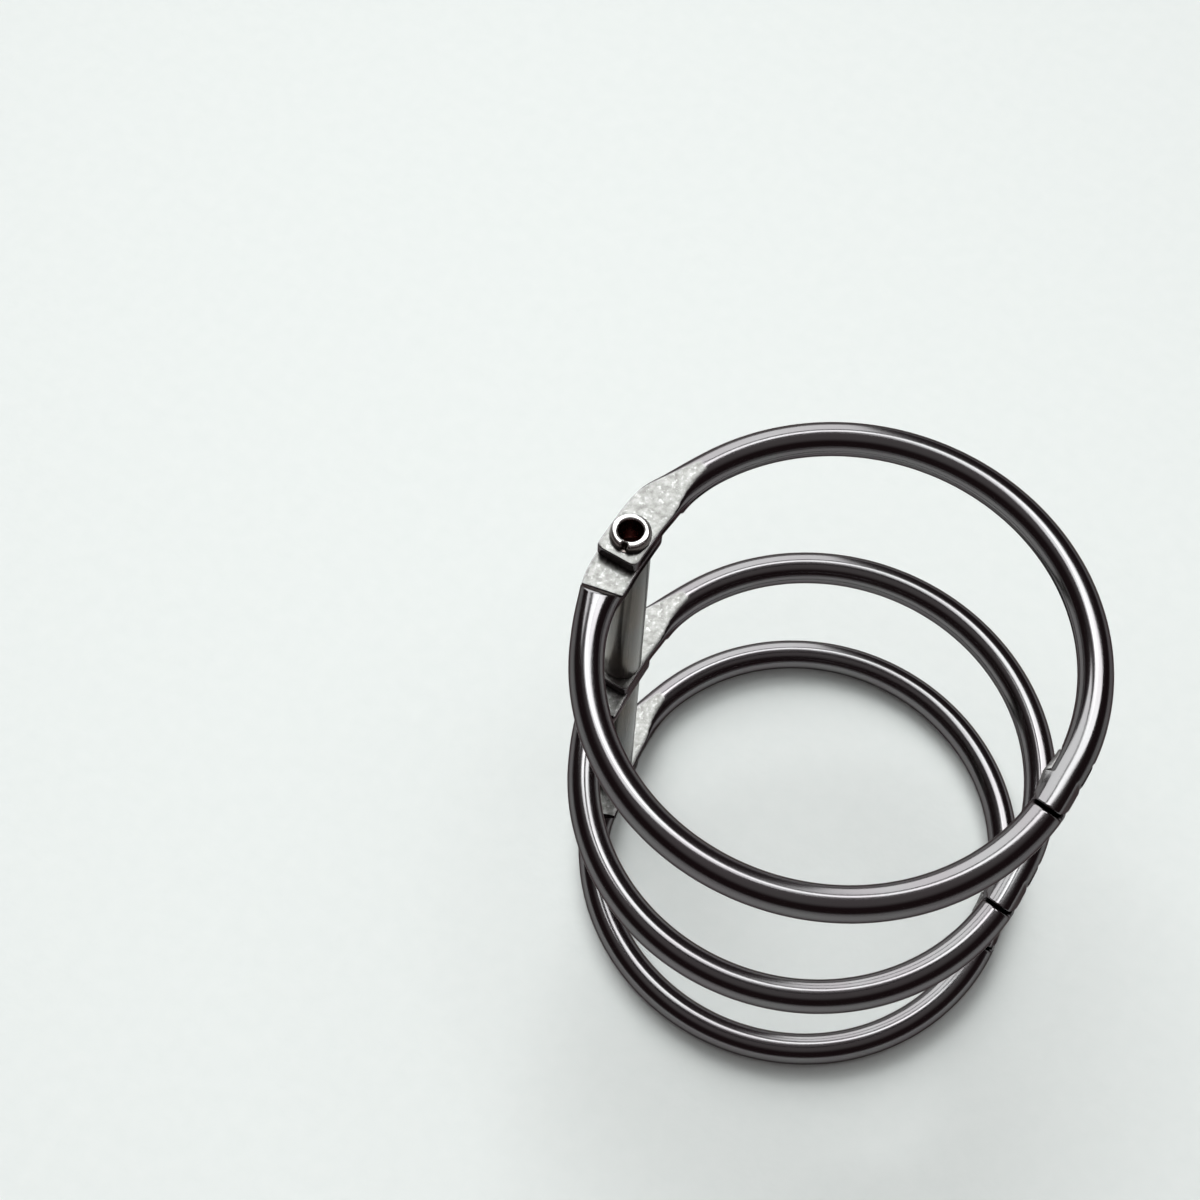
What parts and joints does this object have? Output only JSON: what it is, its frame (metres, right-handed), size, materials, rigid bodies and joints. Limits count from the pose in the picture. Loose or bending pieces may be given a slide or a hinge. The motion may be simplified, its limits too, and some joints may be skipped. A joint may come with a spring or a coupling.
{
  "type": "three-ring hinged binder unit",
  "caption": "Hinged binder unit: snap rings of round plated wire on a long rivet with spacer tubes; each ring opens at a toothed latch to take loose-leaf sheets.",
  "frame": {"origin": "middle of the flat underside of the rivet's factory head, on the axis that all half rings turn about", "axes": "+Z along the rivet from its factory head to its rolled tail; +X from the hinge to the latch of the top ring; +Y towards the rear half rings"},
  "size_m": [0.036, 0.0396, 0.0415],
  "materials": {
    "ring_wire": "polished black nickel plate on steel wire, with pale grained faces where the tongues were stamped",
    "tube": "black nickel plate, drawn tube",
    "rivet": "black nickel plate, bright on the rolled lip"
  },
  "bodies": {
    "spine": {"hinge_rivet": "rivet", "lower_spacer_tube": "tube", "upper_spacer_tube": "tube"},
    "bottom_rear": {"bottom_rear_half_ring": "ring_wire"},
    "bottom_front": {"bottom_front_half_ring": "ring_wire"},
    "middle_rear": {"middle_rear_half_ring": "ring_wire"},
    "middle_front": {"middle_front_half_ring": "ring_wire"},
    "top_rear": {"top_rear_half_ring": "ring_wire"},
    "top_front": {"top_front_half_ring": "ring_wire"}
  },
  "joints": [
    {"name": "bottom_rear_hinge", "type": "hinge", "parent": "spine", "child": "bottom_rear", "pos_m": [0, 0, 0.0017], "axis": [0, 0, 1], "range_deg": [0, 75]},
    {"name": "bottom_front_hinge", "type": "hinge", "parent": "spine", "child": "bottom_front", "pos_m": [0, 0, 0.0017], "axis": [0, 0, 1], "range_deg": [-75, 0]},
    {"name": "middle_rear_hinge", "type": "hinge", "parent": "spine", "child": "middle_rear", "pos_m": [0, 0, 0.0207], "axis": [0, 0, 1], "range_deg": [0, 75]},
    {"name": "middle_front_hinge", "type": "hinge", "parent": "spine", "child": "middle_front", "pos_m": [0, 0, 0.0207], "axis": [0, 0, 1], "range_deg": [-75, 0]},
    {"name": "top_rear_hinge", "type": "hinge", "parent": "spine", "child": "top_rear", "pos_m": [0, 0, 0.0397], "axis": [0, 0, 1], "range_deg": [0, 75]},
    {"name": "top_front_hinge", "type": "hinge", "parent": "spine", "child": "top_front", "pos_m": [0, 0, 0.0397], "axis": [0, 0, 1], "range_deg": [-75, 0]}
  ]
}
